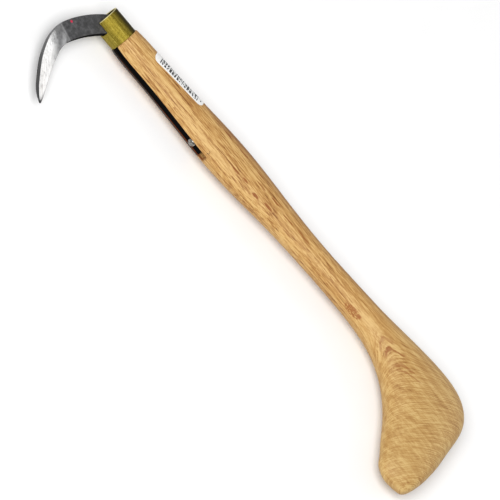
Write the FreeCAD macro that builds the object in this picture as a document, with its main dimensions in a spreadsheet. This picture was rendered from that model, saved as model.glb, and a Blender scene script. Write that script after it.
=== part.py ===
import FreeCAD, Part

import math
import os
from collections import namedtuple

import Sketcher
from FreeCAD import Placement, Rotation, Vector

# A hand sickle: a forged hook blade whose tang lies in an open groove of a carved wooden
# handle, held by a brass ferrule and one round-headed nail.
#
# Design axes, in millimetres: x runs down the handle from the ferrule's mouth to the butt,
# z is the thickness, and "front" measures from the handle's centre line towards the blade's
# side, which is -y. The finished sub-parts are moved together so that the origin ends up
# under the middle of the tool, on the surface that it lies on.

# Driving dimensions: alias, value
DIMENSIONS = [
    ("ferrule_length", 23.0),
    ("ferrule_radius", 11.5),
    ("ferrule_wall", 1.0),
    ("ferrule_centre_front", 2.5),
    ("notch_depth", 10.0),
    ("notch_width", 7.0),
    ("tenon_radius", 10.5),
    ("tenon_recess", 3.0),
    ("bar_thickness", 6.0),
    ("tang_end_x", 126.0),
    ("tang_end_front", 16.4),
    ("tang_end_back", 9.0),
    ("tang_front", 12.4),
    ("tang_back", -3.4),
    ("tang_back_x", 5.0),
    ("neck_corner_x", 10.5),
    ("neck_spine_x", 1.2),
    ("neck_spine_front", -1.0),
    ("spine_radius", 105.0),
    ("lower_edge_radius", 100.0),
    ("groove_width", 6.2),
    ("groove_clearance", 0.1),
    ("groove_ramp", 6.0),
    ("groove_top", 30.0),
    ("nail_x", 115.6),
    ("nail_head_radius", 3.5),
    ("nail_head_height", 1.9),
    ("nail_shank_radius", 1.5),
    ("nail_length", 22.0),
    ("nail_point", 4.0),
    ("tang_hole_radius", 1.7),
    ("label_length", 53.0),
    ("label_width", 13.0),
    ("label_corner", 4.5),
    ("label_thickness", 0.2),
    ("label_x", 73.0),
    ("label_shift", 0.5),
    ("label_lean", 32.0),
    ("label_skew", 5.0),
    ("label_reach", 40.0),
    ("cut_margin", 1.0),
]

# One oval section of the handle: its back and front points, and its thickness between cheeks
Oval = namedtuple("Oval", "back_x back front_x front thickness")
OVALS = [
    Oval(23.0, -9.7, 23.0, 14.3, 23.6),
    Oval(23.6, -10.2, 23.6, 14.8, 24.6),
    Oval(55.0, -12.3, 55.0, 15.5, 25.2),
    Oval(95.0, -15.0, 95.0, 16.6, 25.2),
    Oval(145.0, -18.6, 145.0, 17.6, 25.0),
    Oval(170.0, -18.2, 170.0, 15.6, 24.4),
    Oval(200.0, -16.4, 200.0, 12.1, 23.0),
    Oval(240.0, -15.1, 240.0, 9.3, 22.0),
    Oval(285.0, -16.9, 285.0, 8.3, 22.6),
    Oval(315.0, -18.8, 315.0, 10.1, 25.0),
    Oval(342.0, -22.3, 339.0, 17.9, 28.2),
    Oval(365.9, -25.1, 357.0, 30.9, 30.6),
    Oval(387.9, -25.5, 371.0, 46.7, 31.4),
    Oval(406.8, -19.9, 381.1, 61.9, 31.0),
    Oval(418.8, -6.0, 388.4, 72.3, 30.0),
    Oval(423.8, 20.4, 393.7, 79.3, 27.6),
    Oval(425.9, 36.4, 402.0, 83.2, 24.6),
    Oval(426.6, 52.3, 410.8, 83.0, 20.2),
    Oval(425.8, 65.3, 417.2, 81.9, 14.2),
    Oval(424.4, 73.3, 420.6, 80.5, 7.8),
    Oval(423.5, 76.3, 422.3, 78.4, 2.4),
]

# One section of the blade's ground part: its spine and edge points, and the bar's
# thickness at each
Cut = namedtuple("Cut", "back_x back front_x front spine edge")
CUTS = [
    Cut(-20.0, 38.3, -6.4, 48.6, 6.0, 6.0),
    Cut(-20.8, 43.7, -6.3, 51.3, 6.0, 3.4),
    Cut(-20.6, 49.4, -5.6, 55.1, 6.0, 1.5),
    Cut(-19.8, 55.9, -3.9, 60.0, 6.0, 0.7),
    Cut(-17.7, 63.3, -1.7, 67.0, 6.0, 0.5),
    Cut(-12.3, 76.3, 2.0, 76.2, 6.0, 0.5),
    Cut(-4.6, 88.5, 6.8, 87.3, 5.8, 0.5),
    Cut(3.2, 98.5, 10.8, 96.7, 5.0, 0.5),
    Cut(9.1, 102.9, 12.5, 101.4, 3.2, 0.5),
    Cut(12.3, 104.5, 13.1, 103.8, 1.4, 0.5),
]

TOLERANCE = 1e-6
SMALLEST_CUT = 1.0  # mm3

doc = FreeCAD.newDocument("hand_sickle")
sheet = doc.addObject("Spreadsheet::Sheet", "Sheet")


def fill_sheet():
    """Write every driving dimension into the sheet, one aliased cell each."""
    rows = list(DIMENSIONS)
    for prefix, sections in (("oval", OVALS), ("cut", CUTS)):
        for number, section in enumerate(sections):
            for field, value in section._asdict().items():
                rows.append((f"{prefix}_{number}_{field}", value))
    for row, (alias, value) in enumerate(rows, start=1):
        sheet.set(f"A{row}", alias)
        sheet.set(f"B{row}", str(value))
        sheet.setAlias(f"B{row}", alias)
    doc.recompute()


def size(alias):
    """A driving dimension's value."""
    return float(getattr(sheet, alias))


def origin_feature(body, role):
    for feature in body.Origin.OriginFeatures:
        if feature.Role == role:
            return feature
    raise ValueError(role)


def new_body(name):
    body = doc.addObject("PartDesign::Body", name)
    body.Label = name
    return body


def new_sketch(body, name, plane):
    sketch = body.newObject("Sketcher::SketchObject", name)
    sketch.AttachmentSupport = (origin_feature(body, plane), [""])
    sketch.MapMode = "FlatFace"
    return sketch


def constrain(sketch, name, expression, kind, *places):
    """Add a dimensional constraint whose value is an expression of the sheet's cells."""
    value = float(sketch.evalExpression(expression))
    index = sketch.addConstraint(Sketcher.Constraint(kind, *places, value))
    sketch.renameConstraint(index, name)
    sketch.setExpression(f"Constraints.{name}", expression)


def outline(sketch, corners, arcs=()):
    """Draw a closed outline through corners, each a pair of expressions (x, front or up).

    The side after corner i is straight unless arcs holds (i, radius expression, bulge side).
    """
    points = []
    for corner in corners:
        points.append(Vector(*(float(sketch.evalExpression(place)) for place in corner), 0))
    bends = {index: (radius, side) for index, radius, side in arcs}
    ends = []
    for index, start in enumerate(points):
        end = points[(index + 1) % len(points)]
        if index not in bends:
            side = sketch.addGeometry(Part.LineSegment(start, end), False)
            ends.append(((side, 1), (side, 2)))
            continue
        radius, bulge = bends[index]
        middle = arc_middle(start, end, float(sketch.evalExpression(radius)), bulge)
        side = sketch.addGeometry(Part.Arc(start, middle, end), False)
        forward = sketch.getPoint(side, 1).distanceToPoint(start) < TOLERANCE
        ends.append(((side, 1), (side, 2)) if forward else ((side, 2), (side, 1)))
    for index, (first, last) in enumerate(ends):
        following = ends[(index + 1) % len(ends)][0]
        sketch.addConstraint(Sketcher.Constraint("Coincident", *last, *following))
        across, along = corners[index]
        constrain(sketch, f"corner_{index}_x", across, "DistanceX", -1, 1, *first)
        constrain(sketch, f"corner_{index}_y", along, "DistanceY", -1, 1, *first)
    for index, (radius, side) in bends.items():
        constrain(sketch, f"radius_{index}", radius, "Radius", ends[index][0][0])


def arc_middle(start, end, radius, bulge):
    """The middle of an arc from start to end that bulges to the left (1) or right (-1)."""
    chord = end - start
    half = chord.Length / 2
    rise = radius - math.sqrt(radius ** 2 - half ** 2)
    left = Vector(-chord.y, chord.x, 0).normalize()
    return (start + end) / 2 + left * rise * bulge


def circle_on_axis(sketch, centre, radius):
    """A circle whose centre lies on the sketch's own x axis."""
    start = Vector(float(sketch.evalExpression(centre)), 0, 0)
    size_now = float(sketch.evalExpression(radius))
    circle = sketch.addGeometry(Part.Circle(start, Vector(0, 0, 1), size_now), False)
    sketch.addConstraint(Sketcher.Constraint("PointOnObject", circle, 3, -1))
    constrain(sketch, "centre", centre, "DistanceX", -1, 1, circle, 3)
    constrain(sketch, "radius", radius, "Radius", circle)


def section_sketch(body, name):
    """A sketch on the upright plane through a section's back and front points.

    Its own x runs from the front point to the back one, and its own y is the thickness.
    """
    sketch = new_sketch(body, name, "YZ_Plane")
    sketch.AttachmentOffset = Placement(Vector(), Rotation(Vector(0, 1, 0), 1))
    cell = f"Sheet.{name}"
    middle = "AttachmentOffset.Base"
    sketch.setExpression(f"{middle}.x", f"-({cell}_back + {cell}_front) / 2")
    sketch.setExpression(f"{middle}.z", f"({cell}_back_x + {cell}_front_x) / 2")
    turn = f"atan2({cell}_front_x - {cell}_back_x; {cell}_front - {cell}_back)"
    sketch.setExpression("AttachmentOffset.Rotation.Angle", turn)
    width = f"sqrt(({cell}_front_x - {cell}_back_x)^2 + ({cell}_front - {cell}_back)^2)"
    return sketch, width


def oval_section(body, number):
    name = f"oval_{number}"
    sketch, width = section_sketch(body, name)
    thickness = f"Sheet.{name}_thickness"
    major = float(sketch.evalExpression(width)) / 2
    minor = float(sketch.evalExpression(thickness)) / 2
    ellipse = Part.Ellipse(Vector(major, 0, 0), Vector(0, minor, 0), Vector(0, 0, 0))
    oval = sketch.addGeometry(ellipse, False)
    sketch.exposeInternalGeometry(oval)
    major_axis = oval + 1
    minor_axis = oval + 2
    sketch.addConstraint(Sketcher.Constraint("Coincident", oval, 3, -1, 1))
    sketch.addConstraint(Sketcher.Constraint("Horizontal", major_axis))
    constrain(sketch, "width", width, "Distance", major_axis)
    constrain(sketch, "thickness", thickness, "Distance", minor_axis)
    return sketch


def cut_section(body, number):
    """A ground section: flat below, full thickness at the spine, thin at the edge."""
    name = f"cut_{number}"
    sketch, width = section_sketch(body, name)
    floor = "-Sheet.bar_thickness / 2"
    corners = [
        (f"-{width} / 2", floor),
        (f"{width} / 2", floor),
        (f"{width} / 2", f"{floor} + Sheet.{name}_spine"),
        (f"-{width} / 2", f"{floor} + Sheet.{name}_edge"),
    ]
    outline(sketch, corners)
    return sketch


def loft(body, name, sketches, ruled=False):
    feature = body.newObject("PartDesign::AdditiveLoft", name)
    feature.Profile = sketches[0]
    feature.Sections = sketches[1:]
    feature.Ruled = ruled
    return feature


def pocket(body, name, sketch, length):
    feature = body.newObject("PartDesign::Pocket", name)
    feature.Profile = sketch
    feature.setExpression("Length", length)
    return feature


def cuts_something(body, feature):
    """Recompute and make sure that a cut has taken material away."""
    doc.recompute()
    before = feature.BaseFeature.Shape.Volume
    if body.Shape.Volume > before - SMALLEST_CUT:
        raise RuntimeError(f"{feature.Name} cuts nothing")


def make_handle():
    body = new_body("handle")
    tenon_end = new_sketch(body, "tenon_end", "YZ_Plane")
    tenon_end.setExpression("AttachmentOffset.Base.z", "Sheet.tenon_recess")
    circle_on_axis(tenon_end, "-Sheet.ferrule_centre_front", "Sheet.tenon_radius")
    tenon = body.newObject("PartDesign::Pad", "tenon")
    tenon.Profile = tenon_end
    tenon.setExpression("Length", "Sheet.ferrule_length - Sheet.tenon_recess")

    ovals = [oval_section(body, number) for number in range(len(OVALS))]
    loft(body, "shoulder", ovals[:2], ruled=True)
    carving = loft(body, "carving", ovals[1:])
    doc.recompute()

    groove_side = new_sketch(body, "groove_side", "XY_Plane")
    gap = "Sheet.groove_clearance"
    floor_end = f"-(Sheet.tang_end_back - {gap})"
    corners = [
        ("-Sheet.cut_margin", f"-(Sheet.tang_back - {gap})"),
        ("Sheet.tang_back_x", f"-(Sheet.tang_back - {gap})"),
        (f"Sheet.tang_end_x + {gap}", floor_end),
        (f"Sheet.tang_end_x + {gap} + Sheet.groove_ramp", "-Sheet.oval_4_front"),
        (f"Sheet.tang_end_x + {gap} + Sheet.groove_ramp", "-Sheet.groove_top"),
        ("-Sheet.cut_margin", "-Sheet.groove_top"),
    ]
    outline(groove_side, corners)
    groove = pocket(body, "groove", groove_side, "Sheet.groove_width")
    groove.SideType = "Symmetric"
    cuts_something(body, groove)

    nail_hole(body, "Sheet.tang_end_front", "Sheet.nail_shank_radius", "Sheet.nail_length")
    return body, carving


def nail_hole(body, start, radius, depth):
    """A round hole on the nail's axis, bored from the blade's side."""
    entry = new_sketch(body, "nail_entry", "XZ_Plane")
    entry.setExpression("AttachmentOffset.Base.z", start)
    circle_on_axis(entry, "Sheet.nail_x", radius)
    cuts_something(body, pocket(body, "nail_hole", entry, depth))


def make_blade():
    body = new_body("blade")
    side = new_sketch(body, "bar_side", "XY_Plane")
    corners = [
        ("Sheet.cut_0_front_x", "-Sheet.cut_0_front"),
        ("Sheet.cut_0_back_x", "-Sheet.cut_0_back"),
        ("Sheet.neck_spine_x", "-Sheet.neck_spine_front"),
        ("Sheet.tang_back_x", "-Sheet.tang_back"),
        ("Sheet.tang_end_x", "-Sheet.tang_end_back"),
        ("Sheet.tang_end_x", "-Sheet.tang_end_front"),
        ("Sheet.neck_corner_x", "-Sheet.tang_front"),
    ]
    arcs = [
        (1, "Sheet.spine_radius", 1),
        (6, "Sheet.lower_edge_radius", -1),
    ]
    outline(side, corners, arcs)
    bar = body.newObject("PartDesign::Pad", "bar")
    bar.Profile = side
    bar.setExpression("Length", "Sheet.bar_thickness")
    bar.SideType = "Symmetric"
    doc.recompute()

    cuts = [cut_section(body, number) for number in range(len(CUTS))]
    loft(body, "hook", cuts)
    doc.recompute()

    nail_hole(body, "Sheet.groove_top", "Sheet.tang_hole_radius", "Sheet.groove_top")
    return body


def make_ferrule():
    body = new_body("ferrule")
    wall = new_sketch(body, "wall", "XY_Plane")
    centre = "-Sheet.ferrule_centre_front"
    inside = f"{centre} + Sheet.ferrule_radius - Sheet.ferrule_wall"
    outside = f"{centre} + Sheet.ferrule_radius"
    corners = [
        ("0", inside),
        ("Sheet.ferrule_length", inside),
        ("Sheet.ferrule_length", outside),
        ("0", outside),
    ]
    outline(wall, corners)
    middle = -size("ferrule_centre_front")
    line = Part.LineSegment(Vector(0, middle, 0), Vector(size("ferrule_length"), middle, 0))
    axis = wall.addGeometry(line, True)
    wall.addConstraint(Sketcher.Constraint("Horizontal", axis))
    constrain(wall, "axis_height", centre, "DistanceY", -1, 1, axis, 1)
    sleeve = body.newObject("PartDesign::Revolution", "sleeve")
    sleeve.Profile = wall
    sleeve.ReferenceAxis = (wall, ["Axis0"])
    sleeve.Angle = 360

    notch_plan = new_sketch(body, "notch_plan", "XZ_Plane")
    notch_plan.setExpression("AttachmentOffset.Base.z", "Sheet.groove_top")
    half = "Sheet.notch_width / 2"
    outline(notch_plan, [
        ("-Sheet.cut_margin", f"-{half}"),
        ("Sheet.notch_depth", f"-{half}"),
        ("Sheet.notch_depth", half),
        ("-Sheet.cut_margin", half),
    ])
    notch = pocket(body, "notch", notch_plan, "Sheet.groove_top - Sheet.ferrule_centre_front")
    cuts_something(body, notch)
    return body


def make_nail():
    """The nail stands on its point: its own z runs from the point to the head."""
    body = new_body("tang_nail")
    half = new_sketch(body, "half_profile", "XZ_Plane")
    shank = "Sheet.nail_shank_radius"
    corners = [
        ("0", "-Sheet.nail_length"),
        (shank, "-Sheet.nail_length + Sheet.nail_point"),
        (shank, "0"),
        ("Sheet.nail_head_radius", "0"),
        ("0", "Sheet.nail_head_height"),
    ]
    chord = "Sheet.nail_head_radius^2 + Sheet.nail_head_height^2"
    outline(half, corners, [(3, f"({chord}) / (2 * Sheet.nail_head_height)", -1)])
    turning = body.newObject("PartDesign::Revolution", "turning")
    turning.Profile = half
    turning.ReferenceAxis = (half, ["V_Axis"])
    turning.Angle = 360
    doc.recompute()
    return body


def rounded_rectangle(length, width, corner):
    """A flat face about the origin, with rounded corners."""
    blank = Part.makePlane(length, width, Vector(-length / 2, -width / 2, 0))
    return Part.Face(blank.Wires[0].makeOffset2D(-corner).makeOffset2D(corner))


def make_label(carving):
    """A sticker that follows the carved surface, so it is cut out of that surface and thickened."""
    stamp = rounded_rectangle(size("label_length"), size("label_width"), size("label_corner"))
    stamp.translate(Vector(0, size("label_shift"), 0))
    stamp.rotate(Vector(), Vector(0, 0, 1), size("label_skew"))
    prism = stamp.extrude(Vector(0, 0, size("label_reach")))
    prism.rotate(Vector(), Vector(1, 0, 0), -size("label_lean"))
    prism.translate(Vector(size("label_x"), 0, 0))
    chunk = carving.Shape.common(prism)
    skin = max(chunk.Faces, key=lambda face: face.CenterOfMass.z)
    label = doc.addObject("Part::Feature", "label")
    label.Label = "label"
    label.Shape = skin.makeOffsetShape(size("label_thickness"), TOLERANCE, fill=True)
    return label


def check(parts):
    """Stop when anything in the document failed or a sub-part is not a good solid."""
    for item in doc.Objects:
        if "Invalid" in item.State or "Error" in item.State:
            raise RuntimeError(f"{item.Name} {item.State}")
    for part in parts:
        if part.Shape.isNull() or not part.Shape.isValid():
            raise RuntimeError(f"{part.Label} has a bad shape")


fill_sheet()
handle, handle_carving = make_handle()
blade = make_blade()
ferrule = make_ferrule()
tang_nail = make_nail()
nail_turn = Rotation(Vector(1, 0, 0), 90)
nail_seat = Vector(size("nail_x"), -size("tang_end_front"), 0)
tang_nail.Placement = Placement(nail_seat, nail_turn)
label = make_label(handle_carving)
parts = [handle, blade, ferrule, tang_nail, label]
doc.recompute()
check(parts)

box = FreeCAD.BoundBox()
for part in parts:
    box.add(part.Shape.optimalBoundingBox(False, False))
to_origin = Placement(-Vector(box.Center.x, box.Center.y, box.ZMin), Rotation())
for part in parts:
    part.Placement = to_origin * part.Placement
doc.recompute()
check(parts)

os.makedirs("parts", exist_ok=True)
for part in parts:
    part.Shape.exportStep(f"parts/{part.Label}.step")
    bounds = part.Shape.BoundBox
    print(part.Label, f"{part.Shape.Volume:.0f} mm3", bounds, len(part.Shape.Solids), "solid")
print("origin moved by", to_origin.Base)
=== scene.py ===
import math

import bmesh
import bpy
from mathutils import Matrix, Vector
from mathutils.kdtree import KDTree


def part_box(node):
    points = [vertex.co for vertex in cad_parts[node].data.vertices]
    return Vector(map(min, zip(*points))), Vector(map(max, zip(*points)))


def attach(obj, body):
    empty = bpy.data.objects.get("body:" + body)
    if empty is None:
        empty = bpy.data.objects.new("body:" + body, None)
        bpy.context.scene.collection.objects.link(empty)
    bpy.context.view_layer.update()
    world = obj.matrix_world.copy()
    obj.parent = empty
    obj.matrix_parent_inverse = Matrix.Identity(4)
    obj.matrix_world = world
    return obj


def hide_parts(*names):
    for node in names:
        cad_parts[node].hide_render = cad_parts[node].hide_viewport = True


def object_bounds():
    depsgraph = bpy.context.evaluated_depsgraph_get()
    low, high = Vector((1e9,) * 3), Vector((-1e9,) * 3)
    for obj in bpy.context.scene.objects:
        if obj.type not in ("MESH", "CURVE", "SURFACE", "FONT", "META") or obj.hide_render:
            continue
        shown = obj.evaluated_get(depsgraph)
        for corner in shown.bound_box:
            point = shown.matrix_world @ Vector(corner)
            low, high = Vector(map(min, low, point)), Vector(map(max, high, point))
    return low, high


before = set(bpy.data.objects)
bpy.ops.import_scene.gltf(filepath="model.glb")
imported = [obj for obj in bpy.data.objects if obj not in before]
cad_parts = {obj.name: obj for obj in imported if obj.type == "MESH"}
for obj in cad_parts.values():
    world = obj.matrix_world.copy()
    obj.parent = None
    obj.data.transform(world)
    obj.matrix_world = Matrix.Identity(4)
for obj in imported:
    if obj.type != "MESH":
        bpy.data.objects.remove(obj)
cad_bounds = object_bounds()

MM = 0.001
low, high = cad_bounds
centre = (low + high) / 2

# The boxes, middle lines and ends that the looks are placed from, in millimetres
ferrule_low, ferrule_high = (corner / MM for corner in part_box("ferrule"))
blade_low, blade_high = (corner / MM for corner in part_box("blade"))
label_low, label_high = (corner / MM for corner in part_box("label"))
middle_z = (ferrule_low.z + ferrule_high.z) / 2
axis_y = (ferrule_low.y + ferrule_high.y) / 2
mouth_x = ferrule_low.x
tang_end_x = blade_high.x

FERRULE_OFFSET = 2.5  # the ferrule's centre is this far from the handle's, on the blade's side
handle_y = axis_y + FERRULE_OFFSET


def srgb(red, green, blue):
    """Linear colour from 0-255 screen values."""
    def linear(value):
        value = value / 255
        return value / 12.92 if value <= 0.04045 else ((value + 0.055) / 1.055) ** 2.4
    return linear(red), linear(green), linear(blue)


# ---------------------------------------------------------------- node helpers

class Nodes:
    """A small builder for one material's node tree, measured in millimetres."""

    def __init__(self, name):
        self.material = bpy.data.materials.new(name)
        self.material.use_nodes = True
        self.tree = self.material.node_tree
        self.tree.nodes.clear()
        self.output = self.add("ShaderNodeOutputMaterial")
        self.shader = self.add("ShaderNodeBsdfPrincipled")
        self.link(self.shader.outputs["BSDF"], self.output.inputs["Surface"])
        coordinates = self.add("ShaderNodeTexCoord")
        self.mm = self.stretched(coordinates.outputs["Object"], (1000, 1000, 1000))
        self.x, self.y, self.z = self.split(self.mm)
        self.facing = coordinates.outputs["Normal"]

    def add(self, kind, **settings):
        node = self.tree.nodes.new(kind)
        for key, value in settings.items():
            setattr(node, key, value)
        return node

    def link(self, source, target):
        self.tree.links.new(source, target)

    def feed(self, socket, value):
        """Link a socket, or set it when the value is a plain one."""
        if isinstance(value, bpy.types.NodeSocket):
            self.link(value, socket)
        else:
            socket.default_value = value

    def split(self, vector):
        node = self.add("ShaderNodeSeparateXYZ")
        self.link(vector, node.inputs["Vector"])
        return node.outputs["X"], node.outputs["Y"], node.outputs["Z"]

    def stretched(self, vector, scale):
        node = self.add("ShaderNodeMapping")
        self.link(vector, node.inputs["Vector"])
        node.inputs["Scale"].default_value = scale
        return node.outputs["Vector"]

    def local(self, vector, place, turn=(0, 0, 0), size=(1, 1, 1)):
        """Coordinates about a place, turned and measured in units of size."""
        node = self.add("ShaderNodeMapping", vector_type="TEXTURE")
        self.link(vector, node.inputs["Vector"])
        node.inputs["Location"].default_value = place
        node.inputs["Rotation"].default_value = turn
        node.inputs["Scale"].default_value = size
        return node.outputs["Vector"]

    def noise(self, vector, scale, detail=2.0, rough=0.5, distortion=0.0):
        node = self.add("ShaderNodeTexNoise")
        self.link(self.stretched(vector, scale), node.inputs["Vector"])
        node.inputs["Scale"].default_value = 1.0
        node.inputs["Detail"].default_value = detail
        node.inputs["Roughness"].default_value = rough
        node.inputs["Distortion"].default_value = distortion
        return node.outputs["Fac"]

    def math(self, operation, first, second=0.0, third=0.0, clamp=False):
        node = self.add("ShaderNodeMath", operation=operation, use_clamp=clamp)
        for socket, value in zip(node.inputs, (first, second, third)):
            self.feed(socket, value)
        return node.outputs[0]

    def vector_math(self, operation, first, second):
        node = self.add("ShaderNodeVectorMath", operation=operation)
        self.feed(node.inputs[0], first)
        self.feed(node.inputs[1], second)
        result = "Value" if operation in ("LENGTH", "DOT_PRODUCT") else "Vector"
        return node.outputs[result]

    def band(self, value, start, end):
        """0 at start, 1 at end, smooth between; start may lie above end."""
        node = self.add("ShaderNodeMapRange", interpolation_type="SMOOTHSTEP")
        self.link(value, node.inputs["Value"])
        node.inputs["From Min"].default_value = min(start, end)
        node.inputs["From Max"].default_value = max(start, end)
        node.inputs["To Min"].default_value = 0.0 if start < end else 1.0
        node.inputs["To Max"].default_value = 1.0 if start < end else 0.0
        return node.outputs["Result"]

    def between(self, value, start, end, soft):
        """1 between start and end, fading over soft outside them."""
        rise = self.band(value, start - soft, start)
        return self.math("MULTIPLY", rise, self.band(value, end + soft, end))

    def spot(self, vector, place, size, turn=(0, 0, 0), soft=0.5):
        """1 inside an ellipsoid, fading to 0 at its surface."""
        reach = self.vector_math("LENGTH", self.local(vector, place, turn, size), (0, 0, 0))
        return self.band(reach, 1.0, 1.0 - soft)

    def times(self, first, *rest):
        for value in rest:
            first = self.math("MULTIPLY", first, value)
        return first

    def most(self, first, *rest):
        for value in rest:
            first = self.math("MAXIMUM", first, value)
        return first

    def ramp(self, value, stops):
        node = self.add("ShaderNodeValToRGB")
        self.link(value, node.inputs["Fac"])
        elements = node.color_ramp.elements
        while len(elements) < len(stops):
            elements.new(0.5)
        for element, (position, colour) in zip(elements, stops):
            element.position = position
            element.color = (*colour, 1)
        return node.outputs["Color"]

    def mix(self, factor, first, second, blend="MIX"):
        node = self.add("ShaderNodeMix", data_type="RGBA", blend_type=blend)
        self.feed(node.inputs["Factor"], factor)
        for name, value in (("A", first), ("B", second)):
            socket = next(s for s in node.inputs if s.name == name and s.type == "RGBA")
            self.feed(socket, (*value, 1) if isinstance(value, tuple) else value)
        return next(s for s in node.outputs if s.type == "RGBA")

    def finish(self, colour, roughness, metallic=0.0):
        self.feed(self.shader.inputs["Base Color"], colour)
        self.feed(self.shader.inputs["Roughness"], roughness)
        self.feed(self.shader.inputs["Metallic"], metallic)
        return self.material

    def bump(self, height, distance, strength=1.0):
        node = self.add("ShaderNodeBump")
        self.link(height, node.inputs["Height"])
        node.inputs["Distance"].default_value = distance
        node.inputs["Strength"].default_value = strength
        self.link(node.outputs["Normal"], self.shader.inputs["Normal"])


# ---------------------------------------------------------------- wood

# The growth rings run round a pith far behind and below the handle, and swing away past HEEL_X
PITH_Y = 87.0
PITH_Z = -69.0
HEEL_X = 125.0
RING_SWING = 0.005
RING_PITCH = 1.15

KNOB_START = 55.0    # where the neck's look begins to give way to the knob's
KNOB_TONE = 0.05     # how much lighter the knob is
PLAIN_TONE = 0.785   # the middle of the colour ramp that plain wood takes

# Brown flecks in the handle: place, half length, half width, depth of colour
FLECKS = [
    ((-49.7, 30.1, 26.0), 4.6, 0.9, 0.8),
    ((-38.8, 31.2, 26.1), 4.2, 0.95, 0.85),
    ((-24.8, 30.1, 24.7), 4.4, 1.3, 1.0),
    ((-12.1, 32.3, 25.1), 5.4, 1.0, 0.9),
    ((-10.6, 39.3, 27.0), 6.6, 0.85, 1.0),
    ((-27.5, 38.5, 27.5), 6.4, 0.9, 0.8),
    ((-33.0, 44.8, 27.5), 6.0, 0.7, 0.9),
    ((-54.0, 46.0, 27.0), 6.0, 0.7, 0.9),
    ((-74.4, 46.7, 26.8), 5.0, 0.9, 0.9),
    ((6.0, 38.0, 26.5), 7.0, 0.8, 0.7),
    ((24.0, 39.0, 26.5), 9.5, 0.7, 0.8),
    ((-64.0, 19.5, 18.5), 9.0, 0.7, 0.7),
    ((-116.1, 25.8, 22.9), 1.6, 0.5, 0.6),
]

# Dark rings over the knob: distance from the pith, place, depth of colour
ARCS = [
    (109.3, (123.0, 33.5, 26.0), 0.5),
    (110.8, (135.0, 33.5, 28.0), 0.8),
    (113.6, (149.0, 30.0, 29.5), 0.6),
    (115.0, (156.0, 29.0, 30.3), 0.6),
]


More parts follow.
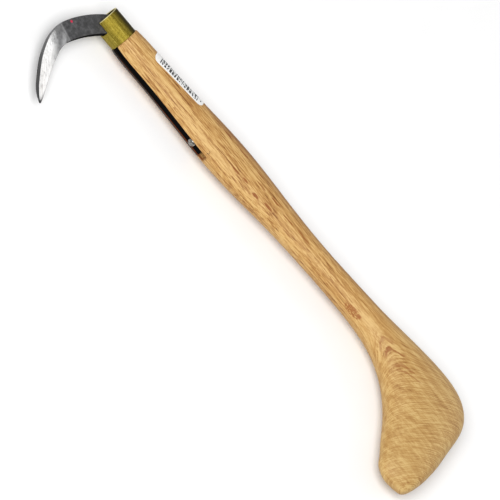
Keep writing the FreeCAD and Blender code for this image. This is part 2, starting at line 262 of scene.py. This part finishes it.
def wood():
    """Bare oak: rings, streaks and pores, then the flecks, stains and marks of this handle, with
    painted shade along its back and below the tang.
    """
    nodes = Nodes("bare_oak")
    mm = nodes.mm

    # Growth rings about a pith far behind: lines along the neck, nested arcs over the knob
    from_pith = nodes.local(mm, (0.0, PITH_Y, PITH_Z))
    radius = nodes.vector_math("LENGTH", nodes.stretched(from_pith, (0, 1, 1)), (0, 0, 0))
    sway = nodes.noise(mm, (0.012, 0.03, 0.03), detail=1.0)
    ripple = nodes.noise(mm, (0.05, 0.16, 0.16), detail=3.0, rough=0.6)
    level = nodes.math("MULTIPLY_ADD", sway, 4.0, radius)
    level = nodes.math("MULTIPLY_ADD", ripple, 0.9, level)
    swing = nodes.math("MAXIMUM", nodes.math("SUBTRACT", nodes.x, HEEL_X), 0.0)
    level = nodes.math("MULTIPLY_ADD", nodes.math("POWER", swing, 2.0), RING_SWING, level)
    grain = nodes.add("ShaderNodeCombineXYZ")
    nodes.link(nodes.x, grain.inputs["X"])
    nodes.link(nodes.vector_math("DOT_PRODUCT", mm, (0, 0.87, 0.5)), grain.inputs["Y"])
    nodes.link(level, grain.inputs["Z"])
    grain = grain.outputs["Vector"]

    ring = nodes.math("FRACT", nodes.math("DIVIDE", level, RING_PITCH))
    late = nodes.math("MULTIPLY", nodes.band(ring, 0.45, 0.86), nodes.band(ring, 0.99, 0.90))
    broken = nodes.band(nodes.noise(mm, (0.07, 0.3, 0.5), detail=3.0), 0.42, 0.60)
    rings = nodes.math("MULTIPLY", late, nodes.math("MULTIPLY_ADD", broken, 0.85, 0.15))

    wide = nodes.noise(mm, (0.012, 0.22, 0.22), detail=2.0, rough=0.6)
    layer = nodes.noise(grain, (0.022, 0.08, 1.0), detail=4.0, rough=0.65)
    lamina = nodes.noise(grain, (0.05, 0.12, 2.2), detail=2.0, rough=0.6)
    streak = nodes.noise(mm, (0.02, 0.75, 0.75), detail=4.0, rough=0.7)
    fibre = nodes.noise(mm, (0.14, 1.7, 1.7), detail=2.0, rough=0.6)
    pores = nodes.band(nodes.noise(mm, (0.10, 1.5, 1.5), detail=2.0), 0.58, 0.68)
    hairs = nodes.band(nodes.noise(mm, (0.022, 1.15, 1.15), detail=2.0, rough=0.6), 0.61, 0.66)

    # Straight streaks along the neck give way to the rings over the knob
    knob = nodes.band(nodes.x, KNOB_START, HEEL_X)
    neck = nodes.math("SUBTRACT", 1.0, knob)
    tone = nodes.math("MULTIPLY_ADD", wide, 0.50, -0.25)
    # Each pattern with its share of the tone along the neck and at the knob, and its mean
    patterns = [
        (layer, 0.45, 0.66, 0.5),
        (streak, 1.25, 0.25, 0.5),
        (fibre, 1.00, 0.32, 0.5),
        (lamina, 0.0, 0.50, 0.5),
        (rings, -0.16, -0.16, 0.15),
        (pores, -0.22, -0.08, 0.15),
        (hairs, -0.30, 0.0, 0.05),
    ]
    for pattern, neck_share, knob_share, mean in patterns:
        share = nodes.math("MULTIPLY_ADD", neck, neck_share - knob_share, knob_share)
        offset = nodes.math("SUBTRACT", pattern, mean)
        tone = nodes.math("ADD", tone, nodes.math("MULTIPLY", offset, share))
    tone = nodes.math("ADD", tone, nodes.math("MULTIPLY_ADD", knob, KNOB_TONE, PLAIN_TONE))
    colour = nodes.ramp(tone, [
        (0.30, srgb(104, 58, 20)),
        (0.52, srgb(143, 94, 44)),
        (0.68, srgb(169, 124, 68)),
        (0.82, srgb(185, 142, 82)),
        (1.00, srgb(208, 171, 110)),
    ])

    # Weathered, greyer wood at the knob, and painted shade along the back, which makes the back
    # darker and redder
    cool = nodes.band(nodes.x, 70.0, 200.0)
    colour = nodes.mix(cool, colour, nodes.mix(1.0, colour, srgb(246, 252, 255), "MULTIPLY"))
    back_shade = nodes.band(nodes.y, 43.0, 53.0)
    back_shade = nodes.math("MULTIPLY", back_shade, nodes.band(nodes.x, 150.0, 80.0))
    colour = nodes.mix(back_shade, colour, nodes.mix(1.0, colour, srgb(215, 196, 172), "MULTIPLY"))

    # Ragged coordinates, so that no stain has a clean outline
    wobble = nodes.add("ShaderNodeTexNoise")
    nodes.link(nodes.stretched(mm, (0.25, 0.9, 0.9)), wobble.inputs["Vector"])
    wobble.inputs["Scale"].default_value = 1.0
    shift = nodes.vector_math("MULTIPLY", wobble.outputs["Color"], (4.0, 1.0, 1.0))
    moved = nodes.vector_math("ADD", mm, nodes.vector_math("SUBTRACT", shift, (2.0, 0.5, 0.5)))

    flecks = None
    for place, half_length, half_width, depth in FLECKS:
        size = (half_length, half_width, max(half_width * 2.0, 2.2))
        fleck = nodes.math("MULTIPLY", nodes.spot(moved, place, size, soft=0.4), depth)
        flecks = fleck if flecks is None else nodes.most(flecks, fleck)
    wavy = nodes.math("MULTIPLY_ADD", ripple, 2.4, radius)
    for reach, place, depth in ARCS:
        line = nodes.between(wavy, reach + 1.05, reach + 1.35, 0.30)
        arc = nodes.times(line, nodes.spot(moved, place, (13.0, 9.0, 9.0), soft=0.4), depth)
        flecks = nodes.most(flecks, arc)
    colour = nodes.mix(nodes.math("MULTIPLY", flecks, 0.9), colour, srgb(132, 66, 12))

    # A brown patch between the waist and the knob
    patch = nodes.spot(moved, (91.3, 32.7, 21.8), (9.8, 3.4, 4.0), (0, 0, 0.10), soft=0.25)
    ragged = nodes.noise(mm, (0.5, 1.2, 1.2), detail=3.0)
    patch = nodes.math("MULTIPLY", patch, nodes.band(ragged, 0.38, 0.50))
    colour = nodes.mix(nodes.math("MULTIPLY", patch, 0.8), colour, srgb(142, 78, 26))

    # Painted shade: the wood below the tang is painted black, with a red-brown stretch, and the
    # groove's ramp is painted a shaded brown
    front_shade = nodes.band(nodes.y, 28.5, 26.5)
    beside = nodes.between(nodes.x, mouth_x + 23.0, tang_end_x - 1.0, 3.0)
    under = nodes.between(nodes.z, middle_z - 8.6, middle_z - 2.7, 0.9)
    shade_below_tang = nodes.times(front_shade, beside, under)
    red_part = nodes.between(nodes.x, mouth_x + 32.0, mouth_x + 62.0, 10.0)
    low_part = nodes.band(nodes.z, middle_z - 5.5, middle_z - 8.0)
    shade_colour = nodes.mix(nodes.math("MULTIPLY", red_part, low_part), srgb(8, 6, 5), srgb(80, 32, 16))
    colour = nodes.mix(nodes.math("MULTIPLY", shade_below_tang, 0.99), colour, shade_colour)
    inside = nodes.between(nodes.z, middle_z - 3.25, middle_z + 3.25, 0.05)
    sunk = nodes.band(nodes.y, 25.0, 23.6)
    groove_end_shade = nodes.times(inside, sunk, nodes.band(nodes.x, tang_end_x + 7.0, tang_end_x + 4.0))
    colour = nodes.mix(nodes.math("MULTIPLY", groove_end_shade, 0.85), colour, srgb(112, 56, 26))

    # A thin dark nick in the wood beside the groove's end
    nick_lean = math.radians(53)
    nick = nodes.spot(moved, (-73.2, 24.2, 21.6), (0.45, 2.6, 1.2), (nick_lean, 0, 0), soft=0.5)
    colour = nodes.mix(nodes.math("MULTIPLY", nick, 0.85), colour, srgb(50, 26, 10))

    nodes.shader.inputs["Specular IOR Level"].default_value = 0.3
    height = nodes.math("MULTIPLY_ADD", pores, -0.6, nodes.math("MULTIPLY", fibre, 0.6))
    height = nodes.math("MULTIPLY_ADD", rings, -0.4, height)
    nodes.bump(height, 0.09 * MM, 0.8)
    rough = nodes.math("MULTIPLY_ADD", fibre, 0.25, 0.42)
    return nodes.finish(colour, rough)


# ---------------------------------------------------------------- steel

# The line where the grinding begins: how far it is from the handle's middle line towards the
# tip, measured at RIDGE_X, and how much it leans
RIDGE_V = 43.0
RIDGE_X = -219.4
RIDGE_SLOPE = 0.28


def forged_steel():
    """Black forge scale that is ground away along the hook's bevel."""
    nodes = Nodes("forged_steel")
    mm = nodes.mm
    towards = nodes.math("MULTIPLY_ADD", nodes.y, -1.0, handle_y)
    slide = nodes.math("MULTIPLY_ADD", nodes.x, -RIDGE_SLOPE, RIDGE_SLOPE * RIDGE_X)
    along = nodes.math("ADD", towards, slide)

    mottle = nodes.noise(mm, (0.30, 0.30, 0.30), detail=6.0, rough=0.65)
    blotch = nodes.noise(mm, (0.11, 0.11, 0.11), detail=3.0, rough=0.6)
    scratch = nodes.noise(nodes.local(mm, (0, 0, 0), (0, 0, 0.9)), (1.8, 0.16, 0.16), detail=3.0)
    grit = nodes.noise(mm, (2.6, 2.6, 2.6), detail=2.0)

    scale_tone = nodes.math("MULTIPLY_ADD", blotch, 0.2, nodes.math("MULTIPLY", mottle, 0.8))
    scale_colour = nodes.ramp(scale_tone, [
        (0.30, srgb(54, 54, 55)),
        (0.48, srgb(74, 74, 75)),
        (0.70, srgb(104, 104, 105)),
    ])

    # The bevel faces up and its grinding fades in beyond the ridge
    facing_z = nodes.split(nodes.facing)[2]
    upward = nodes.band(facing_z, 0.55, 0.75)
    uneven = nodes.math("MULTIPLY_ADD", blotch, 10.0, along)
    uneven = nodes.math("MULTIPLY_ADD", mottle, 14.0, uneven)
    fresh = nodes.band(uneven, RIDGE_V + 16.0, RIDGE_V + 33.0)
    hint = nodes.math("MULTIPLY", nodes.band(along, RIDGE_V - 1.2, RIDGE_V + 1.2), 0.14)
    ground = nodes.math("MULTIPLY", nodes.most(fresh, hint), upward)
    line = nodes.math("MULTIPLY", nodes.between(along, RIDGE_V - 0.2, RIDGE_V + 0.2, 0.8), 0.22)

    bright = nodes.math("MULTIPLY_ADD", mottle, 0.5, nodes.math("MULTIPLY", scratch, 0.5))
    steel = nodes.ramp(bright, [
        (0.36, srgb(176, 176, 177)),
        (0.45, srgb(226, 226, 226)),
        (0.56, srgb(250, 250, 250)),
    ])
    colour = nodes.mix(ground, scale_colour, steel)
    colour = nodes.mix(nodes.math("MULTIPLY", line, upward), colour, srgb(190, 190, 190))

    # The grinding is coarser and duller along the cutting edge
    rubbed = nodes.math("MULTIPLY_ADD", mottle, -6.0, nodes.z)
    near_edge = nodes.band(rubbed, 13.6, 10.8)
    coarse = nodes.math("MULTIPLY", near_edge, nodes.band(along, RIDGE_V + 34.0, RIDGE_V + 8.0))
    edge_line = nodes.math("MULTIPLY", nodes.band(nodes.z, 14.0, 13.2), 0.55)
    dull = nodes.times(nodes.most(coarse, edge_line), upward, 0.75)
    colour = nodes.mix(dull, colour, srgb(120, 120, 121))

    # Painted shade: the inner side of the bar is painted near black where it is turned from the
    # light, and the tang keeps all its black scale, painted blacker still as shade in its groove
    inwards = nodes.vector_math("DOT_PRODUCT", nodes.facing, (0.55, -0.83, 0))
    inner = nodes.band(inwards, 0.25, 0.75)
    sideways = nodes.band(facing_z, 0.45, 0.25)
    inner_side_shade = nodes.times(inner, sideways, nodes.band(along, RIDGE_V + 16.0, RIDGE_V - 4.0))
    in_groove = nodes.band(nodes.x, mouth_x + 8.0, mouth_x + 14.0)
    scale_and_shade = nodes.most(inner_side_shade, in_groove)
    colour = nodes.mix(nodes.math("MULTIPLY", scale_and_shade, 0.98), colour, srgb(5, 5, 6))

    # The outer side darkens towards the tip
    outer = nodes.times(sideways, nodes.band(inner, 0.5, 0.2))
    dark_spine = nodes.times(outer, nodes.band(along, RIDGE_V + 6.0, RIDGE_V + 45.0), 0.72)
    colour = nodes.mix(dark_spine, colour, srgb(20, 20, 21))

    # The tip is left dark, and a spot of red paint marks the black scale
    tip_place = (-190.2, -64.6, blade_low.z + 0.8)
    tip = nodes.spot(mm, tip_place, (2.6, 4.6, 4.6), (0, 0, -0.2), soft=0.5)
    colour = nodes.mix(nodes.math("MULTIPLY", tip, 0.8), colour, srgb(48, 48, 50))
    paint = nodes.spot(mm, (-218.6, 6.6, blade_high.z), (1.4, 1.4, 1.0), soft=0.45)
    colour = nodes.mix(nodes.math("MULTIPLY", paint, 0.9), colour, srgb(198, 22, 66))

    height = nodes.math("MULTIPLY_ADD", grit, 0.35, nodes.math("MULTIPLY", mottle, 1.2))
    nodes.bump(height, 0.10 * MM, 0.7)
    rough = nodes.math("MULTIPLY_ADD", mottle, 0.25, 0.34)
    rough = nodes.math("MULTIPLY_ADD", scale_and_shade, 0.4, rough)
    clean = nodes.math("SUBTRACT", 1.0, scale_and_shade)
    gloss = nodes.math("MULTIPLY_ADD", clean, 0.4, 0.03)
    nodes.link(gloss, nodes.shader.inputs["Specular IOR Level"])
    metal = nodes.math("MULTIPLY_ADD", ground, 0.1, 0.35)
    metal = nodes.times(metal, nodes.band(paint, 0.6, 0.1), clean)
    return nodes.finish(colour, rough, metal)


def nail_steel():
    """Bare steel with grey stains."""
    nodes = Nodes("nail_steel")
    stain = nodes.noise(nodes.mm, (0.9, 0.9, 0.9), detail=4.0)
    colour = nodes.ramp(stain, [(0.38, srgb(96, 94, 90)), (0.62, srgb(168, 166, 160))])
    nodes.bump(stain, 0.05 * MM, 0.5)
    return nodes.finish(colour, nodes.math("MULTIPLY_ADD", stain, 0.25, 0.08), 1.0)


# ---------------------------------------------------------------- brass

def brass():
    """Drawn sheet brass: marks along the sleeve and spots of tarnish, with painted shade towards
    the handle's back.
    """
    nodes = Nodes("drawn_brass")
    mm = nodes.mm
    drawn = nodes.noise(mm, (0.03, 0.8, 0.8), detail=4.0, rough=0.6)
    grain = nodes.noise(mm, (1.1, 1.1, 1.1), detail=5.0, rough=0.7)
    tone = nodes.math("MULTIPLY_ADD", grain, 0.5, nodes.math("MULTIPLY", drawn, 0.5))
    colour = nodes.ramp(tone, [
        (0.36, srgb(106, 94, 30)),
        (0.50, srgb(158, 141, 54)),
        (0.64, srgb(206, 189, 94)),
    ])
    # Painted shade: the sleeve is painted near black towards the handle's back and a little darker
    # towards the front; the small spots are tarnish
    sleeve_shade = nodes.math("MULTIPLY", nodes.band(nodes.y, axis_y - 3.5, axis_y + 5.0), 0.9)
    front_shade = nodes.math("MULTIPLY", nodes.band(nodes.y, axis_y - 6.5, axis_y - 10.5), 0.12)
    sleeve_shade = nodes.most(sleeve_shade, front_shade)
    spotted = nodes.noise(mm, (0.5, 0.7, 0.7), detail=4.0)
    spots = nodes.math("MULTIPLY", nodes.band(spotted, 0.56, 0.70), 0.35)
    colour = nodes.mix(nodes.most(sleeve_shade, spots), colour, srgb(34, 24, 6))
    # A painted highlight: the rim at the mouth is painted bright
    rim = nodes.band(nodes.x, mouth_x + 0.7, mouth_x + 0.3)
    colour = nodes.mix(nodes.math("MULTIPLY", rim, 0.8), colour, srgb(240, 232, 180))
    nodes.bump(tone, 0.08 * MM, 0.7)
    return nodes.finish(colour, nodes.math("MULTIPLY_ADD", grain, 0.3, 0.52), 1.0)


# ---------------------------------------------------------------- paper

def paper():
    """White sticker paper with one row of small illegible print."""
    nodes = Nodes("printed_paper")
    lean = math.radians(32.0)
    skew = math.radians(5.0)
    middle_x = (label_low.x + label_high.x) / 2
    flat = nodes.local(nodes.mm, (middle_x, handle_y, middle_z), (-lean, 0, 0))
    flat = nodes.local(flat, (0, 0, 0), (0, 0, skew))
    s, t, _ = nodes.split(flat)

    mark_pitch = 2.75
    mark_height = 7.4
    row_middle = -0.9
    half_row = 20.5
    stop_place = 23.6
    cell = nodes.math("DIVIDE", s, mark_pitch)
    across = nodes.math("FRACT", cell)
    in_mark = nodes.between(across, 0.16, 0.84, 0.05)
    in_row = nodes.between(t, row_middle - mark_height / 2, row_middle + mark_height / 2, 0.15)
    in_run = nodes.between(s, -half_row, half_row, 0.2)
    strokes = nodes.add("ShaderNodeTexWhiteNoise", noise_dimensions="2D")
    blocks = nodes.local(flat, (0, 0, 0), size=(0.62, 1.50, 1.0))
    blocks = nodes.vector_math("FLOOR", blocks, (0, 0, 0))
    nodes.link(blocks, strokes.inputs["Vector"])
    inked = nodes.band(strokes.outputs["Value"], 0.30, 0.36)
    level = nodes.stretched(flat, (1, 1, 0))
    stop = nodes.spot(level, (stop_place, row_middle, 0), (0.7, 1.3, 1.0), soft=0.3)
    ink = nodes.most(nodes.times(in_mark, in_row, in_run, inked), stop)

    fibre = nodes.noise(nodes.mm, (1.4, 1.4, 1.4), detail=4.0)
    sheet = nodes.ramp(fibre, [(0.35, srgb(226, 226, 224)), (0.65, srgb(240, 240, 239))])
    colour = nodes.mix(nodes.math("MULTIPLY", ink, 0.97), sheet, srgb(20, 20, 18))
    nodes.bump(fibre, 0.03 * MM, 0.5)
    return nodes.finish(colour, nodes.math("MULTIPLY_ADD", fibre, 0.2, 0.4))


# ---------------------------------------------------------------- pieces

WELD = 1e-6                      # m, between points that are one
SAME_PLANE = math.radians(0.6)
SHARP_EDGE = math.radians(38)
THICK = 1.0                      # m, stands for any piece too thick to matter
BEVEL_SHARE = 0.3                # of the thickness, the most that a bevel may take


def arris_thickness(mesh, sharp):
    """How thick the piece is at each vertex of a sharp edge."""
    corners = {vertex.index for edge in sharp for vertex in edge.verts}
    tree = KDTree(len(corners))
    for index in corners:
        tree.insert(mesh.verts[index].co, index)
    tree.balance()
    reach = 8 * MM
    thickness = {}
    for index in corners:
        here = mesh.verts[index].co
        facing = [other for other, _, distance in tree.find_range(here, reach)
                  if abs(other.z - here.z) > 0.1 * MM and (other - here).xy.length < 1.0 * MM]
        thickness[index] = min((abs(other.z - here.z) for other in facing), default=reach)
    return thickness


def softened(node, name, radius, thin_edges=False):
    """A copy of a rigid node with its sharp arrises rounded, to stand for it."""
    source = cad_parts[node]
    mesh = bmesh.new()
    mesh.from_mesh(source.data)
    bmesh.ops.remove_doubles(mesh, verts=mesh.verts[:], dist=WELD)
    bmesh.ops.dissolve_limit(
        mesh, angle_limit=SAME_PLANE, verts=mesh.verts[:], edges=mesh.edges[:])
    mesh.verts.index_update()
    mesh.verts.ensure_lookup_table()
    weight = mesh.edges.layers.float.new("bevel_weight_edge")
    sharp = [e for e in mesh.edges if e.is_manifold and e.calc_face_angle(0) > SHARP_EDGE]
    thickness = arris_thickness(mesh, sharp) if thin_edges else {}
    for edge in sharp:
        thin = min(thickness.get(vertex.index, THICK) for vertex in edge.verts)
        edge[weight] = min(1.0, BEVEL_SHARE * thin / radius)
    for face in mesh.faces:
        face.smooth = True
    data = bpy.data.meshes.new(name)
    mesh.to_mesh(data)
    mesh.free()
    piece = bpy.data.objects.new(name, data)
    bpy.context.scene.collection.objects.link(piece)
    bevel = piece.modifiers.new("arrises", "BEVEL")
    bevel.limit_method = "WEIGHT"
    bevel.width = radius
    bevel.segments = 3
    bevel.use_clamp_overlap = False
    normals = piece.modifiers.new("flat_faces", "WEIGHTED_NORMAL")
    normals.keep_sharp = True
    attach(piece, "root")
    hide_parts(node)
    return piece


def dress(piece, material):
    """Give a piece one material in place of its own."""
    piece.data.materials.clear()
    piece.data.materials.append(material)


dress(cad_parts["handle"], wood())
dress(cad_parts["label"], paper())
dress(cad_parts["tang_nail"], nail_steel())
hook = softened("blade", "hook_blade", 0.35 * MM, thin_edges=True)
dress(hook, forged_steel())
sleeve = softened("ferrule", "brass_ferrule", 0.4 * MM)
dress(sleeve, brass())


# ---------------------------------------------------------------- studio

# BACK points from the tool to the camera
AZIMUTH = math.radians(-9.3)
ELEVATION = math.radians(49.6)
BACK = Vector((
    math.sin(AZIMUTH) * math.cos(ELEVATION),
    -math.cos(AZIMUTH) * math.cos(ELEVATION),
    math.sin(ELEVATION),
))


def floor():
    """A wide pale floor under the tool."""
    bpy.ops.mesh.primitive_plane_add(size=60.0, location=(0, 0, low.z))
    plane = bpy.context.object
    plane.name = "floor"
    nodes = Nodes("pale_floor")
    speckle = nodes.noise(nodes.mm, (0.02, 0.02, 0.02), detail=2.0)
    colour = nodes.ramp(speckle, [(0.3, (0.90, 0.90, 0.90)), (0.7, (0.92, 0.92, 0.92))])
    dress(plane, nodes.finish(colour, 0.9))


def softbox(name, direction, distance, size, power):
    """A round lamp in a direction from the tool's centre, facing it."""
    light = bpy.data.lights.new(name, "AREA")
    light.shape = "DISK"
    light.size = size
    light.energy = power
    lamp = bpy.data.objects.new(name, light)
    bpy.context.scene.collection.objects.link(lamp)
    away = Vector(direction).normalized()
    lamp.location = centre + away * distance
    lamp.rotation_mode = "QUATERNION"
    lamp.rotation_quaternion = (-away).to_track_quat("-Z", "Y")


def room():
    """Even grey surroundings for the metal to reflect."""
    world = bpy.data.worlds.new("room")
    bpy.context.scene.world = world
    world.use_nodes = True
    background = world.node_tree.nodes["Background"]
    background.inputs["Color"].default_value = (1, 1, 1, 1)
    background.inputs["Strength"].default_value = 0.36


def camera():
    """A long lens that sees the tool from the blade's side, rolled so that it hangs diagonally."""
    hang = math.radians(50.0)
    along = (Vector((1, 0, 0)) - BACK * BACK.x).normalized()
    across = along.cross(BACK)
    right = along * math.cos(hang) - across * math.sin(hang)
    up = -along * math.sin(hang) - across * math.cos(hang)
    view_width = 0.381
    lens = 1500.0
    sensor = 36.0
    aim = Vector((0.00336, 0.00219, 0.01177))  # the point at the middle of the picture
    data = bpy.data.cameras.new("camera")
    data.lens = lens
    data.sensor_width = sensor
    data.clip_end = 100.0
    eye = bpy.data.objects.new("camera", data)
    bpy.context.scene.collection.objects.link(eye)
    turn = Matrix((right, up, BACK)).transposed()
    eye.matrix_world = Matrix.Translation(aim + BACK * view_width * lens / sensor) @ turn.to_4x4()
    bpy.context.scene.camera = eye


floor()
room()
softbox("key", BACK + Vector((-0.05, 0.05, 0.12)), distance=2.0, size=1.9, power=45.5)
softbox("rim", (0.53, 0.72, 0.43), distance=1.5, size=1.0, power=5.0)
camera()
bpy.context.scene.view_settings.view_transform = "Standard"
